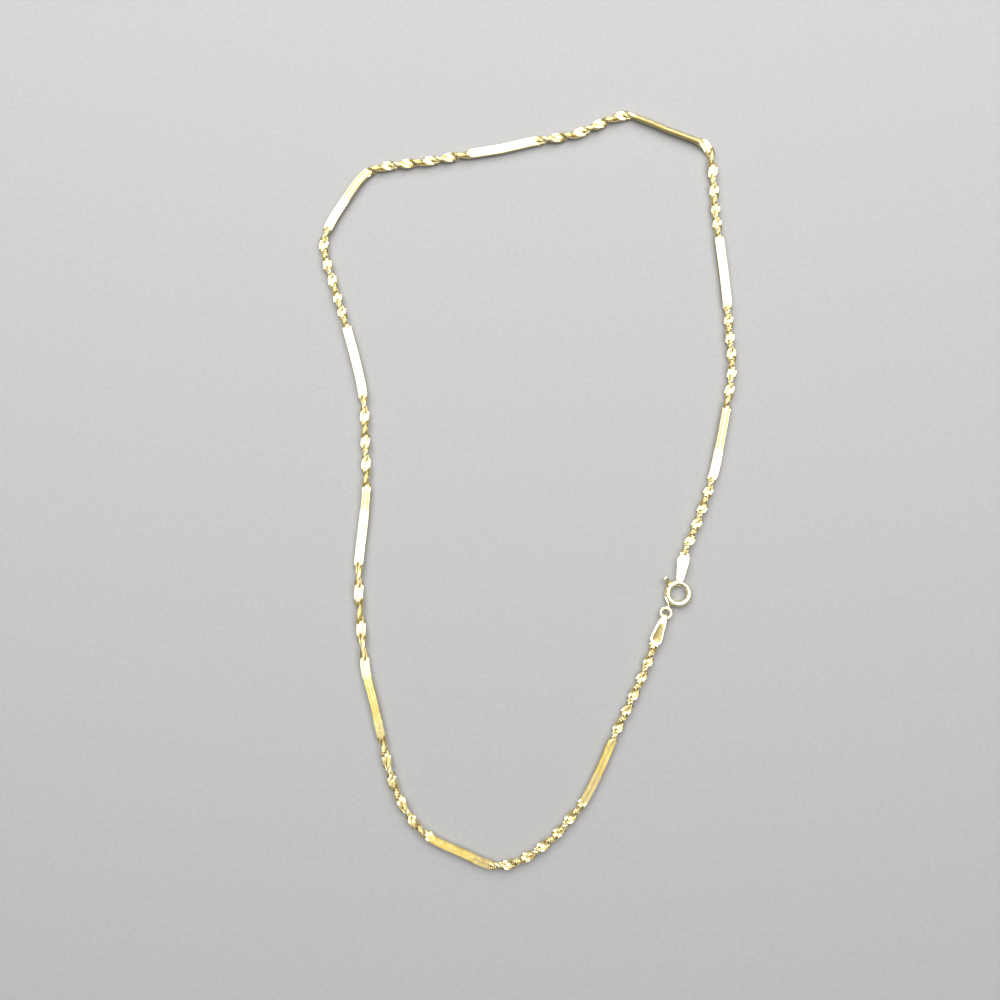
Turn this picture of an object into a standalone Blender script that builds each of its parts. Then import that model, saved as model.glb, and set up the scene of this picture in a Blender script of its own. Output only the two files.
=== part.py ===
"""A twisted band chain necklace with a spring ring clasp, lying closed on a surface.

Units are metres and +Z is up. The origin is below the middle of the loop, on the surface.
The band of fine links is one solid for each flat stretch and for each twisted stretch.
"""

import math
from bisect import bisect_right

import bmesh
import bpy
from mathutils import Matrix, Vector

MM = 0.001

# Band of the chain
BAND_WIDTH = 2.6 * MM
BAND_THICKNESS = 1.1 * MM
BAND_CHAMFER = 0.3 * MM
FLAT_LENGTH = 18.0 * MM
SEAM_GAP = 0.12 * MM
STATIONS_PER_HALF_TURN = 8
FLAT_STATIONS = 8

# Twisted stretches in order from end tab A: half turns, share of the length left over by
# the flat stretches, and how far the twist crowds towards the stretch's start.
TWISTED = (
    {"half_turns": 5.0, "share": 0.81, "crowding": 0.0},
    {"half_turns": 6.0, "share": 1.03, "crowding": -0.12},
    {"half_turns": 5.25, "share": 1.04, "crowding": 0.45},
    {"half_turns": 4.75, "share": 1.04, "crowding": 0.0},
    {"half_turns": 5.0, "share": 1.03, "crowding": -0.03},
    {"half_turns": 6.0, "share": 1.04, "crowding": -0.17},
    {"half_turns": 4.0, "share": 0.92, "crowding": 0.0},
    {"half_turns": 3.0, "share": 0.98, "crowding": 0.0},
    {"half_turns": 5.0, "share": 1.04, "crowding": -0.08},
    {"half_turns": 6.0, "share": 1.07, "crowding": -0.05},
    {"half_turns": 6.0, "share": 0.99, "crowding": 0.0},
)

# Flat stretches in the same order, each as a share of FLAT_LENGTH
FLAT_SHARES = (0.99, 1.01, 0.99, 0.98, 1.0, 1.02, 1.01, 1.02, 0.92, 0.92)

# Route of the chain's middle line in millimetres, from end tab A round to end tab B
ROUTE = (
    (41.0, -20.1),
    (42.7, -16.3),
    (46.0, -8.0),
    (48.9, 0.5),
    (50.9, 9.3),
    (52.7, 18.2),
    (54.4, 28.3),
    (54.0, 38.1),
    (53.5, 46.7),
    (52.7, 55.5),
    (51.7, 64.8),
    (50.9, 73.0),
    (50.5, 81.9),
    (49.8, 88.4),
    (47.6, 91.0),
    (38.7, 94.7),
    (29.2, 98.5),
    (24.6, 98.2),
    (13.8, 93.6),
    (1.5, 91.2),
    (-6.9, 89.2),
    (-15.5, 87.8),
    (-27.2, 85.7),
    (-38.4, 84.2),
    (-43.4, 82.1),
    (-48.5, 75.1),
    (-53.1, 67.0),
    (-54.2, 61.8),
    (-51.6, 52.1),
    (-47.5, 39.1),
    (-45.0, 30.2),
    (-43.1, 21.2),
    (-42.4, 9.0),
    (-42.0, -4.2),
    (-42.7, -13.1),
    (-43.6, -22.4),
    (-43.5, -32.1),
    (-41.6, -49.5),
    (-39.3, -58.4),
    (-37.2, -67.2),
    (-33.9, -79.4),
    (-28.9, -88.2),
    (-24.3, -92.2),
    (-16.6, -95.7),
    (-9.1, -98.7),
    (-3.2, -98.2),
    (5.0, -93.3),
    (11.3, -86.8),
    (14.4, -82.8),
    (18.6, -74.9),
    (22.3, -66.6),
    (27.7, -55.6),
    (31.4, -47.3),
    (32.8, -43.5),
)
ROUTE_STEPS = 24
# The band's heading at a place is read from this far behind it to this far ahead.
HEADING_REACH = 0.4 * MM

# Spring ring clasp
RING_CENTRE = (39.25 * MM, -30.5 * MM)
RING_DIAMETER = 7.0 * MM
TUBE_DIAMETER = 1.5 * MM
TUBE_WALL = 0.2 * MM
OPENING_START = 35.0
OPENING_END = 98.0
TUBE_SIDES = 14
TUBE_STATIONS = 40
SLOT_STATIONS = 12

# Bolt inside the tube, with its trigger
BOLT_DIAMETER = 0.84 * MM
BOLT_OFFSET = 0.07 * MM
BOLT_OVERLAP = 5.0
BOLT_TRAVEL = 48.0
BOLT_SIDES = 12
BOLT_STATIONS = 16
TRIGGER_ANGLE = 131.0
TRIGGER_WIDTH = 1.1 * MM
TRIGGER_THICKNESS = 0.42 * MM
TRIGGER_REACH = 1.8 * MM
TRIGGER_LEAN = 25.0
# The trigger's stations: share of its reach, share of its width, share of its thickness
TRIGGER_OUTLINE = ((0.1, 1.0, 1.0), (0.8, 1.0, 1.0), (0.94, 0.86, 1.0), (1.0, 0.5, 0.7))
SLOT_CLEARANCE = 0.1 * MM

# Eye soldered to the tube, and the strip that joins it
EYE_ANGLE = 236.5
EYE_WIRE = 0.9 * MM
EYE_HOLE = 1.8 * MM
EYE_NECK = 0.72 * MM
EYE_SIDES = 10
EYE_STATIONS = 18
STRIP_START = 193.0
STRIP_THICKNESS = 0.36 * MM
STRIP_HEIGHT = 0.8 * MM
STRIP_STATIONS = 14
STRIP_BEND = 5

# End tabs, each a strip folded over the band's end
TAB_LENGTH = 8.1 * MM
TAB_WIDTH = 3.0 * MM
TAB_THICKNESS = 0.3 * MM
TAB_GRIP = 1.7 * MM
TAB_FOLD_WIDTH = 1.0 * MM
TAB_CLEARANCE = 0.1 * MM
TAB_A_ANGLE = 84.0
TAB_B_ANGLE = 246.0
FOLD_STATIONS = 8

# A plate's outline from the chain's end: share of the tab's length, share of its width
TAB_OUTLINE = ((0.0, 0.77), (0.2, 1.0), (0.5, 0.77), (0.8, 0.52))

RING_MEAN = (RING_DIAMETER - TUBE_DIAMETER) / 2
BOLT_MEAN = RING_MEAN + BOLT_OFFSET
EYE_MEAN = (EYE_HOLE + EYE_WIRE) / 2
EYE_DISTANCE = RING_DIAMETER / 2 + EYE_NECK + EYE_HOLE / 2 + EYE_WIRE
CHAIN_HEIGHT = math.hypot(BAND_WIDTH / 2, BAND_THICKNESS / 2 - BAND_CHAMFER)

GOLD = (0.83, 0.62, 0.27, 1.0)
PALE_GOLD = (0.88, 0.71, 0.38, 1.0)


def clear_scene():
    for obj in list(bpy.data.objects):
        bpy.data.objects.remove(obj)


def metal(name, colour, roughness):
    material = bpy.data.materials.new(name)
    material.use_nodes = True
    shader = material.node_tree.nodes["Principled BSDF"]
    shader.inputs["Base Color"].default_value = colour
    shader.inputs["Metallic"].default_value = 1.0
    shader.inputs["Roughness"].default_value = roughness
    material.diffuse_color = colour
    return material


def polar(radius, degrees, height=0.0):
    angle = math.radians(degrees)
    return Vector((radius * math.cos(angle), radius * math.sin(angle), height))


def smooth_route(points):
    """A dense line of points on a smooth curve that passes through the given points."""
    ends = (2 * points[0] - points[1], 2 * points[-1] - points[-2])
    padded = [ends[0], *points, ends[1]]
    line = []
    for before, start, end, after in zip(padded, padded[1:], padded[2:], padded[3:]):
        span = (end - start).length
        leaving = (end - before) * (span / ((start - before).length + span))
        arriving = (after - start) * (span / ((after - end).length + span))
        for step in range(ROUTE_STEPS):
            t = step / ROUTE_STEPS
            line.append(
                start * (2 * t**3 - 3 * t**2 + 1)
                + leaving * (t**3 - 2 * t**2 + t)
                + end * (3 * t**2 - 2 * t**3)
                + arriving * (t**3 - t**2)
            )
    line.append(points[-1])
    return line


class Route:
    """A smooth level line that is read by the distance along it."""

    def __init__(self, points):
        self.line = smooth_route(points)
        self.reached = [0.0]
        for start, end in zip(self.line, self.line[1:]):
            self.reached.append(self.reached[-1] + (end - start).length)
        self.length = self.reached[-1]

    def point(self, distance):
        index = min(max(bisect_right(self.reached, distance) - 1, 0), len(self.line) - 2)
        span = self.reached[index + 1] - self.reached[index]
        share = (distance - self.reached[index]) / span
        return self.line[index].lerp(self.line[index + 1], share)

    def heading(self, distance):
        behind = self.point(distance - HEADING_REACH)
        return (self.point(distance + HEADING_REACH) - behind).normalized()


def band_section(centre, heading, roll):
    """Eight corners of the band's chamfered section, turned about its heading by roll."""
    side = Vector((-heading.y, heading.x, 0.0))
    across = side * math.cos(roll) + Vector((0.0, 0.0, math.sin(roll)))
    normal = heading.cross(across)
    half_width = BAND_WIDTH / 2
    half_thickness = BAND_THICKNESS / 2
    corners = (
        (half_width, half_thickness - BAND_CHAMFER),
        (half_width - BAND_CHAMFER, half_thickness),
        (BAND_CHAMFER - half_width, half_thickness),
        (-half_width, half_thickness - BAND_CHAMFER),
        (-half_width, BAND_CHAMFER - half_thickness),
        (BAND_CHAMFER - half_width, -half_thickness),
        (half_width - BAND_CHAMFER, -half_thickness),
        (half_width, BAND_CHAMFER - half_thickness),
    )
    return [centre + across * u + normal * v for u, v in corners]


def loft(name, rings, closed=False, origin=None):
    """A solid through rings of corners, capped at its ends unless it closes on itself."""
    bm = bmesh.new()
    origin = origin or Vector((0.0, 0.0, 0.0))
    corners = [[bm.verts.new(point - origin) for point in ring] for ring in rings]
    pairs = list(zip(corners, corners[1:]))
    if closed:
        pairs.append((corners[-1], corners[0]))
    else:
        bm.faces.new(corners[0])
        bm.faces.new(corners[-1])
    for ring, following in pairs:
        for index in range(len(ring)):
            other = (index + 1) % len(ring)
            bm.faces.new((ring[index], ring[other], following[other], following[index]))
    return finish(name, bm, origin)


def finish(name, bm, origin):
    """An object of the mesh, with its faces turned outwards, placed at its origin."""
    bmesh.ops.recalc_face_normals(bm, faces=bm.faces)
    mesh = bpy.data.meshes.new(name)
    bm.to_mesh(mesh)
    bm.free()
    mesh.shade_smooth()
    mesh.set_sharp_from_angle(angle=math.radians(35))
    obj = bpy.data.objects.new(name, mesh)
    obj.location = origin
    bpy.context.scene.collection.objects.link(obj)
    return obj


def give(obj, material):
    obj.data.materials.clear()
    obj.data.materials.append(material)
    return obj


def helper(obj):
    """Hides a shape that only cuts or joins another."""
    obj.hide_render = True
    obj.display_type = "WIRE"
    return obj


def combine(target, other, operation):
    modifier = target.modifiers.new(f"{operation.lower()}_{other.name}", "BOOLEAN")
    modifier.operation = operation
    modifier.object = helper(other)
    modifier.solver = "EXACT"


def twist_roll(distance, first, length, roll, row):
    """Roll of the band at a distance within or beside a twisted stretch."""
    share = min(max((distance - first) / length, 0.0), 1.0)
    eased = share + row["crowding"] * share * (1 - share)
    return roll + math.pi * row["half_turns"] * eased


def stretches(route, start, end):
    """Each stretch of the band as rings of corners, with its name and middle point."""
    flat_lengths = [FLAT_LENGTH * share for share in FLAT_SHARES]
    left_over = end - start - sum(flat_lengths)
    all_shares = sum(row["share"] for row in TWISTED)
    made = []
    at = start
    roll = 0.0
    for number, row in enumerate(TWISTED, 1):
        length = left_over * row["share"] / all_shares
        first = at - (TAB_GRIP if number == 1 else 0.0)
        last = at + length + (TAB_GRIP if number == len(TWISTED) else 0.0)
        places = places_between(first, last, round(row["half_turns"] * STATIONS_PER_HALF_TURN))
        rolls = [twist_roll(place, at, length, roll, row) for place in places]
        made.append((f"twist_run_{number:02}", band_rings(route, places, rolls)))
        at += length
        roll += math.pi * row["half_turns"]
        if number <= len(flat_lengths):
            length = flat_lengths[number - 1]
            places = places_between(at, at + length, FLAT_STATIONS)
            rolls = [roll] * len(places)
            made.append((f"flat_run_{number:02}", band_rings(route, places, rolls)))
            at += length
    return made


def places_between(first, last, count):
    """Distances from first to last, drawn back at each end by half the seam's gap."""
    return steps(first + SEAM_GAP / 2, last - SEAM_GAP / 2, count)


def band_rings(route, places, rolls):
    return [
        band_section(route.point(place), route.heading(place), roll)
        for place, roll in zip(places, rolls)
    ]


def middle_of(points):
    total = Vector((0.0, 0.0, 0.0))
    for point in points:
        total += point
    return total / len(points)


def make_band(made, shift, twisted_gold, flat_gold):
    for name, rings in made:
        moved = [[point + shift for point in ring] for ring in rings]
        origin = middle_of(moved[len(moved) // 2])
        give(loft(name, moved, origin=origin), flat_gold if name.startswith("flat") else twisted_gold)


def fold_radius(bar_radius, hole_radius):
    """Inner radius of a tab's fold that clears a curved bar by TAB_CLEARANCE."""
    half = TAB_FOLD_WIDTH / 2
    bow = hole_radius - math.sqrt(hole_radius**2 - half**2)
    return bar_radius + TAB_CLEARANCE + bow


def tab_width_at(distance):
    """Width of a tab's plate at a distance from the chain's end."""
    share = distance / TAB_LENGTH
    for (start, wide), (end, other) in zip(TAB_OUTLINE, TAB_OUTLINE[1:]):
        if share <= end:
            return TAB_WIDTH * (wide + (other - wide) * (share - start) / (end - start))
    return TAB_FOLD_WIDTH


def make_tab(name, hook, heading, inner_radius, material):
    """A strip folded round a bar at hook, whose two plates hold the band's end."""
    middle = inner_radius + TAB_THICKNESS / 2
    reach = TAB_LENGTH - inner_radius - TAB_THICKNESS
    seat = BAND_THICKNESS / 2 + TAB_CLEARANCE + TAB_THICKNESS / 2
    plate = []
    for share, _ in TAB_OUTLINE:
        distance = share * TAB_LENGTH
        height = seat + (middle - seat) * distance / reach
        plate.append((distance, height, 0.0, 1.0))
    fold = []
    for step in range(FOLD_STATIONS + 1):
        turn = math.pi * step / FOLD_STATIONS
        sine, cosine = math.sin(turn), math.cos(turn)
        fold.append((reach + middle * sine, middle * cosine, sine, cosine))
    under = [(distance, -height, 0.0, -1.0) for distance, height, _, _ in reversed(plate)]
    side = Vector((-heading.y, heading.x, 0.0))
    rings = []
    for distance, height, out_along, out_up in plate + fold + under:
        centre = hook + heading * (reach - distance) + Vector((0.0, 0.0, height))
        outward = (heading * -out_along + Vector((0.0, 0.0, out_up))) * (TAB_THICKNESS / 2)
        across = side * (tab_width_at(distance) / 2)
        rings.append(
            [
                centre + outward + across,
                centre + outward - across,
                centre - outward - across,
                centre - outward + across,
            ]
        )
    return give(loft(name, rings, origin=hook), material)


def round_section(radius, sides, distance, degrees, height=0.0):
    """A circle of corners about a bar's middle, in the plane through the ring's axis."""
    outward = polar(1.0, degrees)
    points = []
    for side in range(sides):
        turn = 2 * math.pi * (side + 0.5) / sides
        out = distance + radius * math.cos(turn)
        points.append(outward * out + Vector((0.0, 0.0, height + radius * math.sin(turn))))
    return points


def box_section(thickness, height, distance, degrees):
    """Four corners of a strip that stands on edge at a distance from the ring's axis."""
    outward = polar(1.0, degrees)
    up = Vector((0.0, 0.0, height / 2))
    near = outward * (distance - thickness / 2)
    far = outward * (distance + thickness / 2)
    return [near - up, far - up, far + up, near + up]


def steps(start, end, count):
    return [start + (end - start) * step / count for step in range(count + 1)]


def make_tube(centre):
    """The ring's hollow tube, open where the bolt crosses, with the trigger's slot."""
    bm = bmesh.new()
    walls = []
    for radius in (TUBE_DIAMETER / 2, TUBE_DIAMETER / 2 - TUBE_WALL):
        section = round_section(radius, TUBE_SIDES, RING_MEAN, OPENING_END)
        walls.append([bm.verts.new(point) for point in section])
    outer, inner = walls
    for index in range(TUBE_SIDES):
        other = (index + 1) % TUBE_SIDES
        bm.faces.new((outer[index], outer[other], inner[other], inner[index]))
    bmesh.ops.spin(
        bm,
        geom=bm.faces[:],
        cent=(0.0, 0.0, 0.0),
        axis=(0.0, 0.0, 1.0),
        angle=math.radians(360.0 - OPENING_END + OPENING_START),
        steps=TUBE_STATIONS,
    )
    return finish("spring_ring", bm, centre)


def lean_box(name, centre, inner, outer, width, degrees):
    """A bar of that thickness along the trigger's lean, swept about the ring's axis."""
    along = Vector((math.cos(math.radians(TRIGGER_LEAN)), math.sin(math.radians(TRIGGER_LEAN))))
    across = Vector((-along.y, along.x)) * (width / 2)
    base = Vector((BOLT_MEAN, 0.0))
    flat = (
        base + along * inner - across,
        base + along * outer - across,
        base + along * outer + across,
        base + along * inner + across,
    )
    rings = []
    for angle in degrees:
        outward = polar(1.0, angle)
        rings.append([outward * point.x + Vector((0.0, 0.0, point.y)) for point in flat])
    return loft(name, [[point + centre for point in ring] for ring in rings], origin=centre)


def trigger_half_angle():
    return math.degrees(math.asin(TRIGGER_WIDTH / 2 / (RING_DIAMETER / 2 - TUBE_WALL)))


def cut_slot(tube, centre):
    margin = math.degrees(SLOT_CLEARANCE / BOLT_MEAN)
    start = TRIGGER_ANGLE - trigger_half_angle() - margin
    end = TRIGGER_ANGLE + BOLT_TRAVEL + trigger_half_angle() + margin
    slot = lean_box(
        "slot_cutter",
        centre,
        BOLT_DIAMETER / 4,
        TUBE_DIAMETER,
        TRIGGER_THICKNESS + 2 * SLOT_CLEARANCE,
        steps(start, end, SLOT_STATIONS),
    )
    combine(tube, slot, "DIFFERENCE")


def add_eye(tube, centre):
    """The small ring and its soldered strip, joined to the tube."""
    eye_centre = centre + polar(EYE_DISTANCE, EYE_ANGLE)
    turns = steps(0.0, 360.0, EYE_STATIONS)[:-1]
    sections = [round_section(EYE_WIRE / 2, EYE_SIDES, EYE_MEAN, turn) for turn in turns]
    eye = loft(
        "eye_joined",
        [[point + eye_centre for point in ring] for ring in sections],
        closed=True,
        origin=eye_centre,
    )
    strip_near = RING_DIAMETER / 2 + STRIP_THICKNESS / 2 - TUBE_WALL / 2
    strip_far = EYE_DISTANCE - EYE_MEAN
    rings = []
    for share in steps(0.0, 1.0, STRIP_STATIONS):
        bend = share**STRIP_BEND
        angle = STRIP_START + (EYE_ANGLE - STRIP_START) * share
        distance = strip_near + (strip_far - strip_near) * bend
        thickness = STRIP_THICKNESS + (EYE_WIRE / 2 - STRIP_THICKNESS) * bend
        height = STRIP_HEIGHT + (EYE_WIRE / 2 - STRIP_HEIGHT) * bend
        rings.append([point + centre for point in box_section(thickness, height, distance, angle)])
    strip = loft("strip_joined", rings, origin=centre)
    combine(tube, strip, "UNION")
    combine(tube, eye, "UNION")


def make_bolt(centre, material):
    """The curved bolt with its trigger, turning about the ring's axis."""
    tip = OPENING_START - BOLT_OVERLAP
    tail = TRIGGER_ANGLE + trigger_half_angle()
    radius = BOLT_DIAMETER / 2
    turns = steps(tip, tail, BOLT_STATIONS)
    rings = [round_section(radius, BOLT_SIDES, BOLT_MEAN, turn) for turn in turns]
    bolt = loft("ring_bolt", [[point + centre for point in ring] for ring in rings], origin=centre)
    reach = RING_DIAMETER / 2 + TRIGGER_REACH - BOLT_MEAN
    reach /= math.cos(math.radians(TRIGGER_LEAN))
    middle = centre + polar(BOLT_MEAN, TRIGGER_ANGLE)
    outward = polar(1.0, TRIGGER_ANGLE)
    lean = math.radians(TRIGGER_LEAN)
    along = outward * math.cos(lean) + Vector((0.0, 0.0, math.sin(lean)))
    across = Vector((-outward.y, outward.x, 0.0))
    normal = along.cross(across)
    rings = []
    for share, wide, thick in TRIGGER_OUTLINE:
        at = middle + along * (reach * share)
        half = across * (TRIGGER_WIDTH / 2 * wide)
        deep = normal * (TRIGGER_THICKNESS / 2 * thick)
        rings.append([at - half - deep, at + half - deep, at + half + deep, at - half + deep])
    trigger = loft("trigger_joined", rings, origin=middle)
    combine(bolt, trigger, "UNION")
    return give(bolt, material)


def main():
    clear_scene()
    twisted_gold = metal("twisted_gold", GOLD, 0.24)
    flat_gold = metal("flat_gold", PALE_GOLD, 0.16)
    clasp_gold = metal("clasp_gold", PALE_GOLD, 0.2)

    height = Vector((0.0, 0.0, CHAIN_HEIGHT))
    ring_centre = Vector((*RING_CENTRE, CHAIN_HEIGHT))
    hook_a = ring_centre + polar(BOLT_MEAN, TAB_A_ANGLE)
    eye_centre = ring_centre + polar(EYE_DISTANCE, EYE_ANGLE)
    hook_b = eye_centre + polar(EYE_MEAN, TAB_B_ANGLE)
    points = [Vector((x * MM, y * MM, 0.0)) + height for x, y in ROUTE]
    heading_a = (points[0] - hook_a).normalized()
    heading_b = (points[-1] - hook_b).normalized()
    fold_a = fold_radius(BOLT_DIAMETER / 2, BOLT_MEAN - BOLT_DIAMETER / 2)
    fold_b = fold_radius(EYE_WIRE / 2, EYE_HOLE / 2)
    route = Route([hook_a, *points, hook_b])
    start = TAB_LENGTH - fold_a - TAB_THICKNESS
    end = route.length - (TAB_LENGTH - fold_b - TAB_THICKNESS)

    made = stretches(route, start, end)
    corners = [corner for _, rings in made for ring in rings for corner in ring]
    west = min(point.x for point in corners)
    east = max(point.x for point in corners)
    south = min(point.y for point in corners)
    north = max(point.y for point in corners)
    shift = Vector((-(west + east) / 2, -(south + north) / 2, 0.0))

    make_band(made, shift, twisted_gold, flat_gold)
    make_tab("end_tab_a", hook_a + shift, heading_a, fold_a, clasp_gold)
    make_tab("end_tab_b", hook_b + shift, heading_b, fold_b, clasp_gold)
    tube = make_tube(ring_centre + shift)
    cut_slot(tube, ring_centre + shift)
    add_eye(tube, ring_centre + shift)
    give(tube, clasp_gold)
    make_bolt(ring_centre + shift, clasp_gold)


main()
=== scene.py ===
"""Dresses the twisted chain necklace: fine links, end tabs, spring ring clasp and a stage."""

import math
import random
from bisect import bisect_right

import bpy
from mathutils import Matrix, Vector


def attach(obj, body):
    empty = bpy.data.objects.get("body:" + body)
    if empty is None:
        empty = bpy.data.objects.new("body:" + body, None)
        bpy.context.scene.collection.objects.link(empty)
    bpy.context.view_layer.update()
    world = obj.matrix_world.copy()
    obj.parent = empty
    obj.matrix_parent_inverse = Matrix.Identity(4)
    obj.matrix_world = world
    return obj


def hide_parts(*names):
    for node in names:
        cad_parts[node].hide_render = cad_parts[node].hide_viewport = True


bl_info = {
    "name": "Twisted Chain Necklace",
    "version": (1, 0, 0),
    "blender": (4, 5, 0),
    "location": "3D View > Sidebar > Necklace",
    "description": "Links, end tabs, spring ring and stage of a twisted chain necklace",
    "category": "Add Mesh",
}

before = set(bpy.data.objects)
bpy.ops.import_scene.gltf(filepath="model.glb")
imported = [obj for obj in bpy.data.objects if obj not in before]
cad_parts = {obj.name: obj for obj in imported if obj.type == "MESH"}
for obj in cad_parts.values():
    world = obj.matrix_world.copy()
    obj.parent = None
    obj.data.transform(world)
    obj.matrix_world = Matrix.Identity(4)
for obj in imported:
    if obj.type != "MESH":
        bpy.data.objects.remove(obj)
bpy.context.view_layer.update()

MM = 0.001
CHAIN_HEIGHT = 1.3238 * MM
LOOP_SHIFT = Vector((-0.092 * MM, 0.0752 * MM, 0.0))
RING_CENTRE = Vector((39.25 * MM, -30.5 * MM, CHAIN_HEIGHT))
RING_MEAN = 2.75 * MM
BOLT_MEAN = 2.82 * MM
EYE_MEAN = 1.35 * MM
EYE_DISTANCE = 6.02 * MM
EYE_ANGLE = 236.5
TAB_A_ANGLE = 84.0
TAB_B_ANGLE = 246.0
TAB_LENGTH = 8.1 * MM
TAB_GRIP = 1.7 * MM
FLAT_LENGTH = 18.0 * MM
BAND_THICKNESS = 1.1 * MM
TAB_SEAT = 0.1 * MM
TAB_FOLD_WIDTH = 1.15 * MM
RING_RADIUS = 3.5 * MM
OPENING = (35.0, 98.0)
BOLT_TIP = 30.0
TRIGGER_ANGLE = 131.0
TRIGGER_LEAN = 25.0
TRIGGER_REACH = 1.8 * MM
SLOT = (121.0, 190.0)
STRIP_START = 193.0
LYING = 0.4
SKY_AXIS = (0.0, 0.35, 0.94)

# Inside radius of each end tab's fold, and how far the chain runs into its tab
TAB_A_BAR = 0.573 * MM
TAB_B_BAR = 0.702 * MM
TAB_A_OVERLAP = 0.87 * MM
TAB_B_OVERLAP = 1.0 * MM

# A sunk face's two ends as shares of the tab's length, and the width of its slope
SUNK_FAR = 0.73
SUNK_NEAR = 0.02
SUNK_SLOPE = 0.08 * MM

# Degrees that the bolt runs on past its trigger, and the slot's room round the trigger
BOLT_TAIL = 9.6
SLOT_PLAY = 0.2 * MM

# The trigger's length, its middle and the drop of its head, as shares of its reach
TRIGGER_LENGTH = 0.9
TRIGGER_MIDDLE = 0.55
TRIGGER_DROP = 0.3
TRIGGER_HEAD = (1.0, 1.1, 0.9)
TRIGGER_EDGE = 0.28 * MM

# The soldered strip: it leaves the tube by a power curve and narrows after some of its steps
STRIP_GAP = 0.08 * MM
STRIP_HALF_HEIGHT = 0.4 * MM
STRIP_THICKNESS = 0.36 * MM
STRIP_EDGE = 0.1 * MM
STRIP_STEPS = 18
STRIP_POWER = 5
STRIP_TAPER = 0.93
STRIP_TAPER_AFTER = 12

# Scales of the noise in the finishes
TONE_SCALE = 900.0
RUBBED_SCALE = 1400.0
FLOOR_TOOTH = 1500.0
LINK_GRAIN = 5000.0
CLASP_GRAIN = 3000.0
SUNK_GRAIN = 9000.0

# Each light's place along Y and its width, and what the two share
SOFT_LIGHT = (0.5275, 1.255)
FILL_LIGHT = (-0.35, 0.5)
LIGHT_HEIGHT = 0.60
LIGHT_LENGTH = 1.2
FLOOR_SIZE = 4.0
CAMERA_PLACE = (-0.00709, -0.03112, 0.2616)
CAMERA_TARGET = (-0.00709, -0.00593, 0.0)
CAMERA_LENS = 36.0

# Parts of flat stretches whose links are ground less: from and to, as shares of the stretch
PROUD_PARTS = {
    "flat_run_01": (0.38, 1.0),
    "flat_run_05": (0.0, 0.5),
    "flat_run_07": (0.0, 0.27),
    "flat_run_08": (0.2, 0.8),
    "flat_run_09": (0.0, 0.75),
    "flat_run_10": (0.45, 1.0),
}

# An end tab's outline from the chain's end: share of its length, share of its width,
# and how far a sunk tab's plate stands off the line to the fold, as a share of its thickness
TAB_OUTLINE = (
    (0.0, 0.76, 0.2),
    (0.03, 0.84, 0.12),
    (0.1, 0.97, 0.0),
    (0.17, 1.0, 0.0),
    (0.22, 0.99, 0.1),
    (0.3, 0.95, 0.25),
    (0.42, 0.85, 0.5),
    (0.54, 0.76, 0.75),
    (0.64, 0.69, 0.9),
    (0.72, 0.62, 0.7),
    (0.81, 0.54, 0.3),
)

# Twisted stretches from end tab A: half turns, share of the length that the flat ones leave,
# and how far the twist crowds towards the stretch's start.
TWISTED = (
    {"half_turns": 5.0, "share": 0.81, "crowding": 0.0},
    {"half_turns": 6.0, "share": 1.03, "crowding": -0.12},
    {"half_turns": 5.25, "share": 1.04, "crowding": 0.45},
    {"half_turns": 4.75, "share": 1.04, "crowding": 0.0},
    {"half_turns": 5.0, "share": 1.03, "crowding": -0.03},
    {"half_turns": 6.0, "share": 1.04, "crowding": -0.17},
    {"half_turns": 4.0, "share": 0.92, "crowding": 0.0},
    {"half_turns": 3.0, "share": 0.98, "crowding": 0.0},
    {"half_turns": 5.0, "share": 1.04, "crowding": -0.08},
    {"half_turns": 6.0, "share": 1.07, "crowding": -0.05},
    {"half_turns": 6.0, "share": 0.99, "crowding": 0.0},
)

# Flat stretches in the same order, each as a share of FLAT_LENGTH
FLAT_SHARES = (0.99, 1.01, 0.99, 0.98, 1.0, 1.02, 1.01, 1.02, 0.92, 0.92)

# The chain's middle line in millimetres, from end tab A round to end tab B
ROUTE = (
    (41.0, -20.1), (42.7, -16.3), (46.0, -8.0), (48.9, 0.5), (50.9, 9.3), (52.7, 18.2),
    (54.4, 28.3), (54.0, 38.1), (53.5, 46.7), (52.7, 55.5), (51.7, 64.8), (50.9, 73.0),
    (50.5, 81.9), (49.8, 88.4), (47.6, 91.0), (38.7, 94.7), (29.2, 98.5), (24.6, 98.2),
    (13.8, 93.6), (1.5, 91.2), (-6.9, 89.2), (-15.5, 87.8), (-27.2, 85.7), (-38.4, 84.2),
    (-43.4, 82.1), (-48.5, 75.1), (-53.1, 67.0), (-54.2, 61.8), (-51.6, 52.1), (-47.5, 39.1),
    (-45.0, 30.2), (-43.1, 21.2), (-42.4, 9.0), (-42.0, -4.2), (-42.7, -13.1), (-43.6, -22.4),
    (-43.5, -32.1), (-41.6, -49.5), (-39.3, -58.4), (-37.2, -67.2), (-33.9, -79.4),
    (-28.9, -88.2), (-24.3, -92.2), (-16.6, -95.7), (-9.1, -98.7), (-3.2, -98.2), (5.0, -93.3),
    (11.3, -86.8), (14.4, -82.8), (18.6, -74.9), (22.3, -66.6), (27.7, -55.6), (31.4, -47.3),
    (32.8, -43.5),
)
ROUTE_STEPS = 24


def size(words, default, text):
    """A length setting."""
    return bpy.props.FloatProperty(
        name=words, description=text, default=default, min=0.0, unit="LENGTH", precision=5
    )


def tint(words, default, text):
    """A colour setting."""
    return bpy.props.FloatVectorProperty(
        name=words, description=text, default=default, size=3, min=0.0, max=1.0, subtype="COLOR"
    )


def share(words, default, text):
    """A setting from 0 to 1."""
    return bpy.props.FloatProperty(
        name=words, description=text, default=default, min=0.0, max=1.0, subtype="FACTOR"
    )


def turn(words, default, text):
    """An angle setting, given in degrees."""
    return bpy.props.FloatProperty(
        name=words, description=text, default=math.radians(default), subtype="ANGLE"
    )


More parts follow.
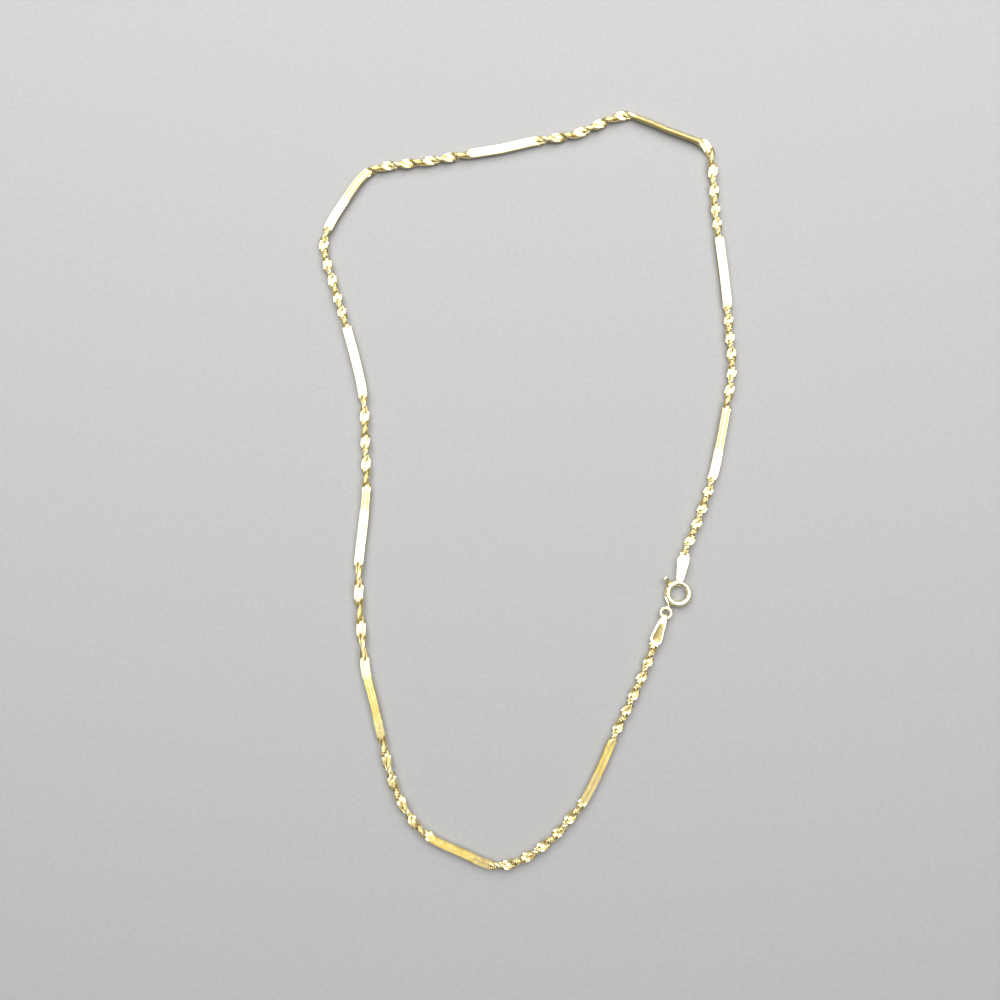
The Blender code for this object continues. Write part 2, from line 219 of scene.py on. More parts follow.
class NecklaceLinks(bpy.types.PropertyGroup):
    """Sizes of the fine links."""

    pitch: size("Pitch", 0.5 * MM, "Distance from one link to the next along the band")
    wire: size("Wire", 0.46 * MM, "Diameter of a link's wire")
    half_length: size("Half length", 0.44 * MM, "From a link's middle to its wire, along the band")
    half_width: size("Half width", 0.55 * MM, "From a link's middle to its wire, across the band")
    row: size("Row", 0.48 * MM, "From the band's middle to the middle of each row of links")
    curb: turn("Curb twist", 130.0, "Turn of a link's wire from one end to the other")
    rise: bpy.props.FloatProperty(
        name="Rise", description="How much taller a link's wire stands than it is wide", default=1.6
    )
    flat_face: size("Flat face", 0.475 * MM, "Height at which a flat stretch's links are ground")
    twist_face: size("Twist face", 0.5 * MM, "Height at which a twisted stretch's links are ground")
    proud_face: size("Proud face", 0.62 * MM, "Height at which the less ground links are cut")
    play: turn("Play", 1.2, "Most that a link leans out of line")


class NecklaceClasp(bpy.types.PropertyGroup):
    """Sizes of the spring ring and its bolt."""

    tube: size("Tube", 1.5 * MM, "Diameter of the ring's tube")
    wall: size("Wall", 0.2 * MM, "Thickness of the tube's wall")
    lip: size("Lip", 0.05 * MM, "Rounding of the tube's cut ends")
    bolt: size("Bolt", 0.84 * MM, "Diameter of the bolt")
    eye_wire: size("Eye wire", 0.9 * MM, "Diameter of the eye's wire")
    trigger_width: size("Trigger width", 1.15 * MM, "Width of the trigger")
    trigger_thickness: size("Trigger thickness", 0.62 * MM, "Thickness of the trigger")


class NecklaceTabs(bpy.types.PropertyGroup):
    """Sizes of the folded end tabs."""

    width: size("Width", 2.85 * MM, "Width of a tab at its widest")
    thickness: size("Thickness", 0.3 * MM, "Thickness of the metal")
    rim: size("Rim", 0.26 * MM, "Width of the raised rim round a tab's face")
    recess: size("Recess", 0.05 * MM, "Depth of the face below the rim")
    edge: size("Edge", 0.1 * MM, "Rounding of the edges")


class NecklaceFinish(bpy.types.PropertyGroup):
    """Colours and polish of the gold."""

    bright: tint("Bright gold", (0.94, 0.86, 0.57), "Colour of the polished faces")
    warm: tint("Warm gold", (0.88, 0.76, 0.41), "Colour of the wire between the polished faces")
    pale: tint("Pale gold", (0.94, 0.84, 0.54), "Colour of the clasp and the end tabs")
    # The grained gold's two colours are darkened to paint the shade in end tab B's sunk face; its
    # grain comes from roughness and bump.
    sunk_face_painted_shade: tint("Matt gold", (0.46, 0.38, 0.17), "Colour of the grained gold")
    shade: tint("Shaded gold", (0.30, 0.24, 0.10), "Deepest colour of the grained gold")
    polish: share("Polish", 0.16, "Roughness of the polished gold")
    clasp_polish: share("Clasp polish", 0.28, "Roughness of the clasp's gold")
    grain: share("Grain", 0.42, "Roughness of the grained gold")


class NecklaceStage(bpy.types.PropertyGroup):
    """Floor, light and camera."""

    floor: tint("Floor", (0.285, 0.283, 0.28), "Colour of the pale floor")
    light: bpy.props.FloatProperty(
        name="Light", description="Power of the large soft light", default=21.3, min=0.0
    )
    fill: bpy.props.FloatProperty(
        name="Fill", description="Power of the dim light beside it", default=0.8, min=0.0
    )
    sky_low: share("Low sky", 0.08, "Brightness of the room near the floor")
    sky_high: share("High sky", 0.44, "Brightness of the room above")


def clear_selection():
    if bpy.context.mode != "OBJECT":
        bpy.ops.object.mode_set(mode="OBJECT")
    bpy.ops.object.select_all(action="DESELECT")


def take(obj):
    """Makes one object the selected and active one."""
    clear_selection()
    obj.select_set(True)
    bpy.context.view_layer.objects.active = obj
    return obj


def edit(obj):
    take(obj)
    bpy.ops.object.mode_set(mode="EDIT")
    bpy.ops.mesh.select_mode(type="VERT")
    bpy.ops.mesh.select_all(action="SELECT")


def apply_place(obj):
    take(obj)
    bpy.ops.object.transform_apply(location=True, rotation=True, scale=True)


def apply_modifier(obj, kind, **settings):
    take(obj)
    modifier = obj.modifiers.new(kind.lower(), kind)
    for key, value in settings.items():
        setattr(modifier, key, value)
    bpy.ops.object.modifier_apply(modifier=modifier.name)


def join(objects, name):
    """Joins objects into one, in place, and names it."""
    bpy.context.view_layer.update()
    clear_selection()
    for obj in objects:
        obj.select_set(True)
    bpy.context.view_layer.objects.active = objects[0]
    if len(objects) > 1:
        bpy.ops.object.join()
    joined = bpy.context.view_layer.objects.active
    joined.name = name
    joined.data.name = name
    apply_place(joined)
    return joined


def copy_of(obj, matrix):
    """A copy with its own mesh, placed by a matrix."""
    copy = obj.copy()
    copy.data = obj.data.copy()
    copy.matrix_world = matrix
    bpy.context.scene.collection.objects.link(copy)
    return copy


def smooth(obj, degrees):
    take(obj)
    bpy.ops.object.shade_smooth_by_angle(angle=math.radians(degrees))


def finish_piece(obj, body, node, material):
    """Gives a finished piece its material, unless it has some, and says what it stands for."""
    if not obj.data.materials:
        obj.data.materials.append(material)
    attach(obj, body)
    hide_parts(node)


def polar(radius, degrees, height=0.0):
    angle = math.radians(degrees)
    return Vector((radius * math.cos(angle), radius * math.sin(angle), height))


def smooth_route(points):
    """A dense line of points on a smooth curve that passes through the given points."""
    ends = (2 * points[0] - points[1], 2 * points[-1] - points[-2])
    padded = [ends[0], *points, ends[1]]
    line = []
    for before, start, end, after in zip(padded, padded[1:], padded[2:], padded[3:]):
        span = (end - start).length
        leaving = (end - before) * (span / ((start - before).length + span))
        arriving = (after - start) * (span / ((after - end).length + span))
        for step in range(ROUTE_STEPS):
            t = step / ROUTE_STEPS
            line.append(
                start * (2 * t**3 - 3 * t**2 + 1)
                + leaving * (t**3 - 2 * t**2 + t)
                + end * (3 * t**2 - 2 * t**3)
                + arriving * (t**3 - t**2)
            )
    line.append(points[-1])
    return line


class Route:
    """A smooth level line that is read by the distance along it."""

    def __init__(self, points):
        self.line = smooth_route(points)
        self.reached = [0.0]
        for start, end in zip(self.line, self.line[1:]):
            self.reached.append(self.reached[-1] + (end - start).length)
        self.length = self.reached[-1]

    def point(self, distance):
        index = min(max(bisect_right(self.reached, distance) - 1, 0), len(self.line) - 2)
        span = self.reached[index + 1] - self.reached[index]
        return self.line[index].lerp(
            self.line[index + 1], (distance - self.reached[index]) / span
        )

    def heading(self, distance, reach=0.4 * MM):
        return (self.point(distance + reach) - self.point(distance - reach)).normalized()


def hook_a():
    return RING_CENTRE + polar(BOLT_MEAN, TAB_A_ANGLE)


def hook_b():
    return RING_CENTRE + polar(EYE_DISTANCE, EYE_ANGLE) + polar(EYE_MEAN, TAB_B_ANGLE)


def chain_route():
    points = [Vector((x * MM, y * MM, CHAIN_HEIGHT)) for x, y in ROUTE]
    return Route([point + LOOP_SHIFT for point in (hook_a(), *points, hook_b())])


def plan_stretches(route):
    """Name, first and last distance and roll of each stretch, as the frame has them."""
    start = TAB_LENGTH - TAB_A_OVERLAP
    end = route.length - (TAB_LENGTH - TAB_B_OVERLAP)
    flats = [FLAT_LENGTH * part for part in FLAT_SHARES]
    left_over = end - start - sum(flats)
    total = sum(row["share"] for row in TWISTED)
    plan = []
    at = start
    roll = 0.0
    for number, row in enumerate(TWISTED, 1):
        length = left_over * row["share"] / total
        plan.append((f"twist_run_{number:02}", at, at + length, roll, row))
        at += length
        roll += math.pi * row["half_turns"]
        if number <= len(flats):
            plan.append((f"flat_run_{number:02}", at, at + flats[number - 1], roll, None))
            at += flats[number - 1]
    return plan


def roll_at(place, first, last, roll, row):
    if row is None:
        return roll
    done = min(max((place - first) / (last - first), 0.0), 1.0)
    eased = done + row["crowding"] * done * (1 - done)
    turned = roll + math.pi * row["half_turns"] * eased
    # The band lies flatter where a face meets the surface, and turns faster between.
    window = min(1.0, 4 * done, 4 * (1 - done))
    return turned - LYING * window * math.sin(2 * turned) / 2


def link_place(route, distance, roll):
    """The matrix of a link: X along the band, Y across it, Z out of its face."""
    heading = route.heading(distance)
    side = Vector((-heading.y, heading.x, 0.0))
    across = side * math.cos(roll) + Vector((0.0, 0.0, math.sin(roll)))
    normal = heading.cross(across)
    axes = Matrix((heading, across, normal)).transposed().to_4x4()
    axes.translation = route.point(distance)
    return axes


def grind(place, outward):
    """In edit mode, cuts everything beyond a plane away and closes it with a sharp-edged face."""
    bpy.ops.mesh.select_all(action="SELECT")
    bpy.ops.mesh.bisect(
        plane_co=place,
        plane_no=outward,
        use_fill=True,
        clear_outer=True,
        threshold=0.0001 * MM,
    )
    bpy.ops.mesh.mark_sharp()


def model_link(name, links, face):
    """A pair of curb links side by side, their upper and lower faces ground flat."""
    clear_selection()
    bpy.ops.mesh.primitive_torus_add(
        major_segments=12,
        minor_segments=6,
        major_radius=links.half_length,
        minor_radius=links.wire / 2,
        rotation=(0.0, 0.0, math.pi / 12),
    )
    link = bpy.context.active_object
    link.name = name
    apply_place(link)
    edit(link)
    bpy.ops.transform.resize(value=(1.0, links.half_width / links.half_length, 1.0))
    bpy.ops.object.mode_set(mode="OBJECT")
    apply_modifier(
        link, "SIMPLE_DEFORM", deform_method="TWIST", deform_axis="X", angle=links.curb
    )
    edit(link)
    bpy.ops.transform.resize(value=(1.0, 1.0, links.rise))
    grind((0.0, 0.0, face), (0.0, 0.0, 1.0))
    grind((0.0, 0.0, -face), (0.0, 0.0, -1.0))
    bpy.ops.mesh.select_all(action="SELECT")
    bpy.ops.transform.translate(value=(0.0, links.row, 0.0))
    bpy.ops.object.mode_set(mode="OBJECT")
    apply_modifier(link, "MIRROR", use_axis=(False, True, False), use_mirror_merge=False)
    smooth(link, 75)
    return link


def lay_stretches(context, kind, face, material):
    """Lays links along each stretch of one kind and lets them stand for its node."""
    links = context.scene.necklace_links
    route = chain_route()
    chance = random.Random(11)
    link = model_link(f"{kind}_link", links, face)
    proud_link = model_link(f"{kind}_link_proud", links, links.proud_face)
    plan = plan_stretches(route)
    for name, first, last, roll, row in plan:
        low = first - (TAB_GRIP if name == plan[0][0] else 0.0)
        high = last + (TAB_GRIP if name == plan[-1][0] else 0.0)
        count = max(round((high - low) / links.pitch), 1)
        step = (high - low) / count
        if not name.startswith(kind):
            continue
        copies = []
        for index in range(count):
            place = low + step * (index + 0.5)
            matrix = link_place(route, place, roll_at(place, first, last, roll, row))
            lean = Matrix.Rotation(chance.uniform(-1, 1) * links.play, 4, "X")
            nod = Matrix.Rotation(chance.uniform(-1, 1) * links.play, 4, "Y")
            part = (place - first) / (last - first)
            proud = PROUD_PARTS.get(name, (1.0, 0.0))
            chosen = proud_link if proud[0] <= part <= proud[1] else link
            copies.append(copy_of(chosen, matrix @ lean @ nod))
        piece = join(copies, f"{name}_links")
        finish_piece(piece, "necklace", name, material)
    bpy.data.objects.remove(link)
    bpy.data.objects.remove(proud_link)


def new_material(name):
    material = bpy.data.materials.new(name)
    material.use_nodes = True
    return material, material.node_tree, material.node_tree.nodes["Principled BSDF"]


def noise(tree, source, scale, detail):
    node = tree.nodes.new("ShaderNodeTexNoise")
    node.inputs["Scale"].default_value = scale
    node.inputs["Detail"].default_value = detail
    tree.links.new(source, node.inputs["Vector"])
    return node.outputs["Fac"]


def mapped(tree, source, low, high, source_low=0.3, source_high=0.7):
    node = tree.nodes.new("ShaderNodeMapRange")
    node.inputs["From Min"].default_value = source_low
    node.inputs["From Max"].default_value = source_high
    node.inputs["To Min"].default_value = low
    node.inputs["To Max"].default_value = high
    tree.links.new(source, node.inputs["Value"])
    return node.outputs["Result"]


def mixed(tree, factor, first, second):
    node = tree.nodes.new("ShaderNodeMix")
    node.data_type = "RGBA"
    node.inputs["A"].default_value = (*first, 1.0)
    node.inputs["B"].default_value = (*second, 1.0)
    tree.links.new(factor, node.inputs["Factor"])
    return node.outputs["Result"]


def bumped(tree, shader, height, distance):
    node = tree.nodes.new("ShaderNodeBump")
    node.inputs["Distance"].default_value = distance
    node.inputs["Strength"].default_value = 0.5
    tree.links.new(height, node.inputs["Height"])
    tree.links.new(node.outputs["Normal"], shader.inputs["Normal"])


def gold(name, main, deep, polish, grain):
    """Polished gold with a little colour change, rubbed patches and a fine hammered grain."""
    material, tree, shader = new_material(name)
    place = tree.nodes.new("ShaderNodeTexCoord").outputs["Object"]
    tone = mapped(tree, noise(tree, place, TONE_SCALE, 2.0), 0.0, 1.0)
    tree.links.new(mixed(tree, tone, main, deep), shader.inputs["Base Color"])
    rubbed = mapped(tree, noise(tree, place, RUBBED_SCALE, 2.0), polish * 0.8, polish * 1.2)
    tree.links.new(rubbed, shader.inputs["Roughness"])
    bumped(tree, shader, noise(tree, place, grain, 3.0), 0.002 * MM)
    shader.inputs["Metallic"].default_value = 1.0
    return material


def floor_material(colour):
    """A plain pale matt board with a faint tooth."""
    material, tree, shader = new_material("pale_floor")
    place = tree.nodes.new("ShaderNodeTexCoord").outputs["Object"]
    tone = mapped(tree, noise(tree, place, TONE_SCALE, 6.0), 0.0, 1.0)
    darker = tuple(value * 0.93 for value in colour)
    tree.links.new(mixed(tree, tone, colour, darker), shader.inputs["Base Color"])
    bumped(tree, shader, noise(tree, place, FLOOR_TOOTH, 6.0), 0.05 * MM)
    shader.inputs["Roughness"].default_value = 0.85
    shader.inputs["Specular IOR Level"].default_value = 0.2
    return material


class NECKLACE_OT_flat_stretches(bpy.types.Operator):
    """Lay the links of the flat stretches"""

    bl_idname = "necklace.flat_stretches"
    bl_label = "Flat Stretches"

    def execute(self, context):
        look = context.scene.necklace_finish
        material = gold("ground_link_gold", look.bright, look.warm, look.polish, LINK_GRAIN)
        face = context.scene.necklace_links.flat_face
        lay_stretches(context, "flat", face, material)
        return {"FINISHED"}


class NECKLACE_OT_twisted_stretches(bpy.types.Operator):
    """Lay the links of the twisted stretches"""

    bl_idname = "necklace.twisted_stretches"
    bl_label = "Twisted Stretches"

    def execute(self, context):
        look = context.scene.necklace_finish
        material = gold("twisted_link_gold", look.bright, look.warm, look.polish, LINK_GRAIN)
        face = context.scene.necklace_links.twist_face
        lay_stretches(context, "twist", face, material)
        return {"FINISHED"}


def heading_from(hook, first):
    """The matrix of a tab: X from the bar towards the chain, Z up."""
    heading = (first - hook).normalized()
    side = Vector((-heading.y, heading.x, 0.0))
    axes = Matrix((heading, side, Vector((0.0, 0.0, 1.0)))).transposed().to_4x4()
    axes.translation = hook + LOOP_SHIFT
    return axes


def select_faces(obj, wanted):
    """In edit mode, selects the faces whose middle and normal pass a test."""
    bpy.ops.mesh.select_mode(type="FACE")
    bpy.ops.object.mode_set(mode="OBJECT")
    for face in obj.data.polygons:
        face.select = wanted(face.center, face.normal)
    bpy.ops.object.mode_set(mode="EDIT")


def start_edge(name, half, axis):
    """An object of one edge through its origin, along Y or Z, ready to be extruded."""
    clear_selection()
    turned = (0.0, math.pi / 2, 0.0) if axis == "Z" else (0.0, 0.0, 0.0)
    bpy.ops.mesh.primitive_plane_add(size=2 * half, rotation=turned)
    edge = bpy.context.active_object
    edge.name = name
    apply_place(edge)
    side = 0 if axis == "Y" else 1
    bpy.ops.object.mode_set(mode="EDIT")
    bpy.ops.mesh.select_mode(type="VERT")
    bpy.ops.mesh.select_all(action="DESELECT")
    bpy.ops.object.mode_set(mode="OBJECT")
    for vertex in edge.data.vertices:
        vertex.select = vertex.co[side] > 0
    bpy.ops.object.mode_set(mode="EDIT")
    bpy.ops.mesh.delete(type="VERT")
    bpy.ops.mesh.select_all(action="SELECT")
    step = [0.0, 0.0, 0.0]
    step[side] = half
    bpy.ops.transform.translate(value=step)
    return edge


def model_tab(name, bar, tabs, polished, grain_and_painted_shade):
    """A strip folded round a bar. Given a second gold, with grain and colours darkened as painted
    shade, its upper plate has a sunk face.
    """
    reach = TAB_LENGTH - bar - tabs.thickness
    middle = bar + tabs.thickness / 2
    seat = BAND_THICKNESS / 2 + TAB_SEAT + tabs.thickness / 2
    stations = []
    for part, wide, bulge in TAB_OUTLINE:
        along = part * TAB_LENGTH
        height = seat + (middle - seat) * along / reach
        if grain_and_painted_shade:
            height += bulge * tabs.thickness
        stations.append((reach - along, height, wide * tabs.width))
    stations.append((0.0, middle, TAB_FOLD_WIDTH))
    tab = start_edge(name, stations[0][2] / 2, "Y")
    bpy.ops.transform.translate(value=(stations[0][0], 0.0, stations[0][1]))

    def follow(route):
        for (x, z, wide), (next_x, next_z, next_wide) in zip(route, route[1:]):
            bpy.ops.mesh.extrude_region_move(
                TRANSFORM_OT_translate={"value": (next_x - x, 0.0, next_z - z)}
            )
            bpy.ops.transform.resize(value=(1.0, next_wide / wide, 1.0))

    follow(stations)
    bpy.ops.mesh.spin(steps=12, angle=math.pi, center=(0, 0, 0), axis=(0, 1, 0))
    follow([(x, -z, wide) for x, z, wide in reversed(stations)])
    bpy.ops.mesh.select_all(action="SELECT")
    bpy.ops.mesh.remove_doubles(threshold=0.01 * MM)
    bpy.ops.mesh.normals_make_consistent(inside=False)
    bpy.ops.object.mode_set(mode="OBJECT")
    apply_modifier(tab, "SOLIDIFY", thickness=tabs.thickness, offset=0.0)
    tab.data.materials.append(polished)
    if grain_and_painted_shade:
        tab.data.materials.append(grain_and_painted_shade)
        low = reach - SUNK_FAR * TAB_LENGTH
        high = reach - SUNK_NEAR * TAB_LENGTH
        outer = seat + tabs.thickness / 4
        edit(tab)
        select_faces(
            tab,
            lambda centre, normal: centre.z > outer and low < centre.x < high and normal.z > 0.8,
        )
        bpy.ops.mesh.inset(thickness=tabs.rim, depth=0.0)
        bpy.ops.mesh.inset(thickness=SUNK_SLOPE, depth=-tabs.recess)
        # The sunk face takes the darkened gold: painted shade over a real grain.
        bpy.context.object.active_material_index = 1
        bpy.ops.object.material_slot_assign()
        bpy.ops.object.mode_set(mode="OBJECT")
    apply_modifier(
        tab, "BEVEL", width=tabs.edge, segments=3, limit_method="ANGLE", angle_limit=0.9
    )
    smooth(tab, 35)
    return tab


def model_tube(clasp):
    """The ring's hollow tube with rolled lips, open where the bolt crosses."""
    clear_selection()
    bpy.ops.mesh.primitive_circle_add(
        vertices=28,
        radius=clasp.tube / 2,
        location=(RING_MEAN, 0.0, 0.0),
        rotation=(math.pi / 2, 0.0, 0.0),
    )
    tube = bpy.context.active_object
    apply_place(tube)
    edit(tube)
    sweep = math.radians(360.0 - OPENING[1] + OPENING[0])
    bpy.ops.mesh.spin(steps=96, angle=-sweep, center=(0, 0, 0), axis=(0, 0, 1))
    bpy.ops.mesh.select_all(action="SELECT")
    bpy.ops.mesh.normals_make_consistent(inside=False)
    bpy.ops.object.mode_set(mode="OBJECT")
    tube.rotation_euler.z = math.radians(OPENING[1])
    apply_place(tube)
    apply_modifier(tube, "SOLIDIFY", thickness=clasp.wall, offset=-1.0)
    cutter = model_slot(clasp)
    apply_modifier(tube, "BOOLEAN", operation="DIFFERENCE", solver="EXACT", object=cutter)
    bpy.data.objects.remove(cutter)
    apply_modifier(
        tube, "BEVEL", width=clasp.lip, segments=2, limit_method="ANGLE", angle_limit=0.9
    )
    return tube


def model_slot(clasp):
    """The curved bar that cuts the trigger's slot."""
    clear_selection()
    bpy.ops.mesh.primitive_plane_add(size=1.0, rotation=(math.pi / 2, 0.0, 0.0))
    cutter = bpy.context.active_object
    apply_place(cutter)
    edit(cutter)
    long = clasp.tube
    bpy.ops.transform.resize(value=(long, 1.0, clasp.trigger_thickness + SLOT_PLAY))
    bpy.ops.transform.translate(value=(long / 2 + clasp.bolt / 4, 0.0, 0.0))
    bpy.ops.object.mode_set(mode="OBJECT")
    cutter.rotation_euler.y = -math.radians(TRIGGER_LEAN)
    cutter.location.x = BOLT_MEAN
    apply_place(cutter)
    edit(cutter)
    sweep = math.radians(SLOT[1] - SLOT[0])
    bpy.ops.mesh.spin(steps=24, angle=-sweep, center=(0, 0, 0), axis=(0, 0, 1))
    bpy.ops.mesh.select_all(action="SELECT")
    bpy.ops.mesh.normals_make_consistent(inside=False)
    bpy.ops.object.mode_set(mode="OBJECT")
    cutter.rotation_euler.z = math.radians(SLOT[0])
    apply_place(cutter)
    return cutter


def model_strip():
    """The strip soldered along the tube, which runs out to hold the eye."""
    near = RING_RADIUS + STRIP_GAP
    far = EYE_DISTANCE - EYE_MEAN
    points = []
    for step in range(STRIP_STEPS + 1):
        part = step / STRIP_STEPS
        angle = STRIP_START + (EYE_ANGLE - STRIP_START) * part
        points.append(polar(near + (far - near) * part**STRIP_POWER, angle))
    strip = start_edge("strip", STRIP_HALF_HEIGHT, "Z")
    bpy.ops.transform.translate(value=points[0])
    for index, (start, end) in enumerate(zip(points, points[1:])):
        bpy.ops.mesh.extrude_region_move(TRANSFORM_OT_translate={"value": end - start})
        if index > STRIP_TAPER_AFTER:
            bpy.ops.transform.resize(value=(1.0, 1.0, STRIP_TAPER))
    bpy.ops.mesh.select_all(action="SELECT")
    bpy.ops.mesh.normals_make_consistent(inside=False)
    bpy.ops.object.mode_set(mode="OBJECT")
    apply_modifier(strip, "SOLIDIFY", thickness=STRIP_THICKNESS, offset=0.0)
    apply_modifier(
        strip, "BEVEL", width=STRIP_EDGE, segments=3, limit_method="ANGLE", angle_limit=0.9
    )
    return strip


def model_bolt(clasp):
    """The curved bolt with its round tip."""
    clear_selection()
    bpy.ops.mesh.primitive_circle_add(
        vertices=20,
        radius=clasp.bolt / 2,
        location=(BOLT_MEAN, 0.0, 0.0),
        rotation=(math.pi / 2, 0.0, 0.0),
    )
    bolt = bpy.context.active_object
    apply_place(bolt)
    edit(bolt)
    tail = TRIGGER_ANGLE + BOLT_TAIL
    sweep = math.radians(tail - BOLT_TIP)
    bpy.ops.mesh.spin(steps=30, angle=sweep, center=(0, 0, 0), axis=(0, 0, 1))
    end = polar(BOLT_MEAN, math.degrees(-sweep))
    for scale in (0.92, 0.75, 0.45):
        bpy.ops.mesh.extrude_region()
        bpy.ops.transform.resize(value=(scale, scale, scale), center_override=end)
    bpy.ops.mesh.select_all(action="SELECT")
    bpy.ops.mesh.fill_holes(sides=0)
    bpy.ops.mesh.normals_make_consistent(inside=False)
    bpy.ops.object.mode_set(mode="OBJECT")
    bolt.rotation_euler.z = math.radians(tail)
    apply_place(bolt)
    return bolt


def model_trigger(clasp):
    """The thumb piece that stands out through the slot, leaning up with its head bent level."""
    reach = (RING_RADIUS + TRIGGER_REACH - BOLT_MEAN) / math.cos(math.radians(TRIGGER_LEAN))
    clear_selection()
    bpy.ops.mesh.primitive_cube_add(size=1.0)
    trigger = bpy.context.active_object
    edit(trigger)
    block = (TRIGGER_LENGTH * reach, clasp.trigger_width, clasp.trigger_thickness)
    bpy.ops.transform.resize(value=block)
    bpy.ops.transform.translate(value=(TRIGGER_MIDDLE * reach, 0.0, 0.0))
    bpy.ops.mesh.subdivide(number_cuts=2)
    select_faces(trigger, lambda centre, normal: normal.x > 0.9)
    bpy.ops.transform.resize(value=TRIGGER_HEAD)
    drop = TRIGGER_DROP * reach * math.tan(math.radians(TRIGGER_LEAN))
    bpy.ops.transform.translate(value=(0.0, 0.0, -drop))
    bpy.ops.object.mode_set(mode="OBJECT")
    apply_modifier(
        trigger, "BEVEL", width=TRIGGER_EDGE, segments=4, limit_method="ANGLE", angle_limit=0.7
    )
    outward = polar(1.0, TRIGGER_ANGLE)
    lean = math.radians(TRIGGER_LEAN)
    along = outward * math.cos(lean) + Vector((0.0, 0.0, math.sin(lean)))
    across = Vector((-outward.y, outward.x, 0.0))
    axes = Matrix((along, across, along.cross(across))).transposed().to_4x4()
    axes.translation = polar(BOLT_MEAN, TRIGGER_ANGLE)
    trigger.matrix_world = axes
    apply_place(trigger)
    return trigger


def clasp_finish(context):
    found = bpy.data.materials.get("clasp_gold_polished")
    if found:
        return found
    look = context.scene.necklace_finish
    return gold("clasp_gold_polished", look.pale, look.bright, look.clasp_polish, CLASP_GRAIN)


class NECKLACE_OT_end_tabs(bpy.types.Operator):
    """Fold the two end tabs, one over the bolt and one through the eye"""

    bl_idname = "necklace.end_tabs"
    bl_label = "End Tabs"

    def execute(self, context):
        tabs = context.scene.necklace_tabs
        first = Vector((ROUTE[0][0] * MM, ROUTE[0][1] * MM, CHAIN_HEIGHT))
        last = Vector((ROUTE[-1][0] * MM, ROUTE[-1][1] * MM, CHAIN_HEIGHT))
        polished = clasp_finish(context)
        look = context.scene.necklace_finish
        # Gold for the sunk face: grain from roughness and bump, colours darkened as painted shade.
        grain_and_painted_shade = gold("clasp_gold_grained_painted_shade", look.sunk_face_painted_shade, look.shade, look.grain, SUNK_GRAIN)
        places = (
            ("end_tab_a", TAB_A_BAR, heading_from(hook_a(), first), None),
            ("end_tab_b", TAB_B_BAR, heading_from(hook_b(), last), grain_and_painted_shade),
        )
        for node, bar, place, sunk in places:
            tab = model_tab(f"{node}_folded", bar, tabs, polished, sunk)
            tab.matrix_world = place
            apply_place(tab)
            finish_piece(tab, "necklace", node, polished)
        return {"FINISHED"}


class NECKLACE_OT_spring_ring(bpy.types.Operator):
    """Form the spring ring with its soldered strip and eye"""

    bl_idname = "necklace.spring_ring"
    bl_label = "Spring Ring"

    def execute(self, context):
        clasp = context.scene.necklace_clasp
        tube = model_tube(clasp)
        strip = model_strip()
        clear_selection()
        bpy.ops.mesh.primitive_torus_add(
            major_segments=48,
            minor_segments=20,
            major_radius=EYE_MEAN,
            minor_radius=clasp.eye_wire / 2,
            location=polar(EYE_DISTANCE, EYE_ANGLE),
        )
        eye = bpy.context.active_object
        ring = join([tube, strip, eye], "spring_ring_tube")
        ring.location = RING_CENTRE + LOOP_SHIFT
        apply_place(ring)
        smooth(ring, 40)
        finish_piece(ring, "necklace", "spring_ring", clasp_finish(context))
        return {"FINISHED"}


class NECKLACE_OT_ring_bolt(bpy.types.Operator):
    """Form the bolt and its trigger"""

    bl_idname = "necklace.ring_bolt"
    bl_label = "Ring Bolt"

    def execute(self, context):
        clasp = context.scene.necklace_clasp
        bolt = join([model_bolt(clasp), model_trigger(clasp)], "ring_bolt_wire")
        bolt.location = RING_CENTRE + LOOP_SHIFT
        apply_place(bolt)
        smooth(bolt, 40)
        finish_piece(bolt, "bolt", "ring_bolt", clasp_finish(context))
        return {"FINISHED"}


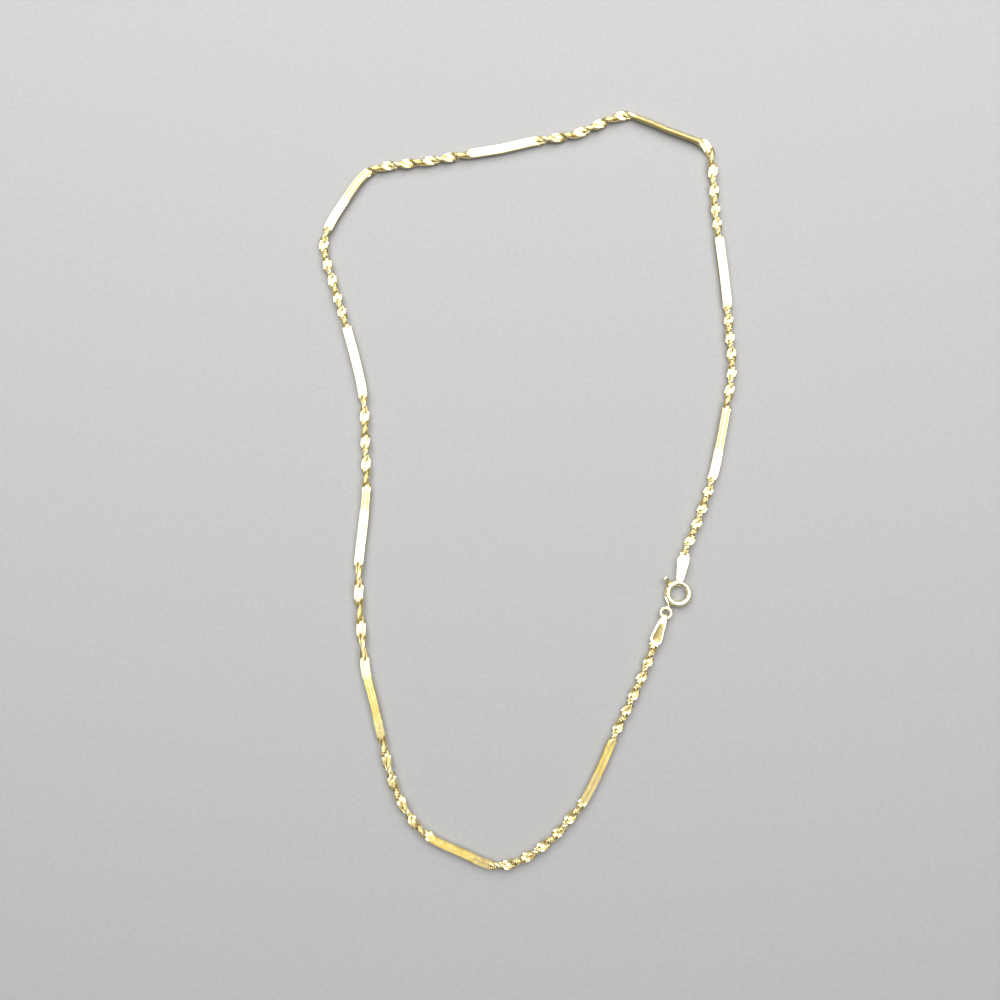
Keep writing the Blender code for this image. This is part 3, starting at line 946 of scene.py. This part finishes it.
class NECKLACE_OT_stage(bpy.types.Operator):
    """Set the pale floor, the soft light and the camera"""

    bl_idname = "necklace.stage"
    bl_label = "Stage"

    def execute(self, context):
        stage = context.scene.necklace_stage
        clear_selection()
        bpy.ops.mesh.primitive_plane_add(size=FLOOR_SIZE, location=(0.0, 0.0, 0.0))
        floor = bpy.context.active_object
        floor.name = "floor"
        floor.data.materials.append(floor_material(stage.floor))

        for name, (middle, width), power in (
            ("soft_light", SOFT_LIGHT, stage.light),
            ("fill_light", FILL_LIGHT, stage.fill),
        ):
            bpy.ops.object.light_add(type="AREA", location=(0.0, middle, LIGHT_HEIGHT))
            light = bpy.context.active_object
            light.name = name
            light.data.shape = "RECTANGLE"
            light.data.size = LIGHT_LENGTH
            light.data.size_y = width
            light.data.energy = power

        world = bpy.data.worlds.new("room")
        context.scene.world = world
        world.use_nodes = True
        tree = world.node_tree
        direction = tree.nodes.new("ShaderNodeTexCoord").outputs["Generated"]
        product = tree.nodes.new("ShaderNodeVectorMath")
        product.operation = "DOT_PRODUCT"
        product.inputs[1].default_value = SKY_AXIS
        tree.links.new(direction, product.inputs[0])
        height = mapped(tree, product.outputs["Value"], stage.sky_low, stage.sky_high, 0.0, 1.0)
        background = tree.nodes["Background"]
        background.inputs["Color"].default_value = (1.0, 1.0, 1.0, 1.0)
        tree.links.new(height, background.inputs["Strength"])

        bpy.ops.object.camera_add(location=CAMERA_PLACE)
        camera = bpy.context.active_object
        camera.name = "camera"
        target = Vector(CAMERA_TARGET)
        camera.rotation_euler = (target - camera.location).to_track_quat("-Z", "Y").to_euler()
        camera.data.lens = CAMERA_LENS
        camera.data.sensor_width = 36.0
        camera.data.clip_start = 0.01
        context.scene.camera = camera
        context.scene.view_settings.view_transform = "Standard"
        return {"FINISHED"}


class NECKLACE_PT_panel(bpy.types.Panel):
    """Lists the necklace's pieces in the sidebar"""

    bl_idname = "NECKLACE_PT_panel"
    bl_label = "Necklace"
    bl_space_type = "VIEW_3D"
    bl_region_type = "UI"
    bl_category = "Necklace"

    def draw(self, context):
        for operator in OPERATORS:
            self.layout.operator(operator.bl_idname)


SETTINGS = {
    "necklace_links": NecklaceLinks,
    "necklace_clasp": NecklaceClasp,
    "necklace_tabs": NecklaceTabs,
    "necklace_finish": NecklaceFinish,
    "necklace_stage": NecklaceStage,
}
OPERATORS = (
    NECKLACE_OT_flat_stretches,
    NECKLACE_OT_twisted_stretches,
    NECKLACE_OT_end_tabs,
    NECKLACE_OT_spring_ring,
    NECKLACE_OT_ring_bolt,
    NECKLACE_OT_stage,
)


def register():
    for kind in (*SETTINGS.values(), *OPERATORS, NECKLACE_PT_panel):
        bpy.utils.register_class(kind)
    for name, kind in SETTINGS.items():
        setattr(bpy.types.Scene, name, bpy.props.PointerProperty(type=kind))


def unregister():
    for name in SETTINGS:
        delattr(bpy.types.Scene, name)
    for kind in (NECKLACE_PT_panel, *OPERATORS, *SETTINGS.values()):
        bpy.utils.unregister_class(kind)


def write_sizes():
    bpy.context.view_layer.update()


def main():
    register()
    bpy.ops.necklace.flat_stretches()
    bpy.ops.necklace.twisted_stretches()
    bpy.ops.necklace.end_tabs()
    bpy.ops.necklace.spring_ring()
    bpy.ops.necklace.ring_bolt()
    bpy.ops.necklace.stage()
    write_sizes()


if __name__ == "__main__":
    main()
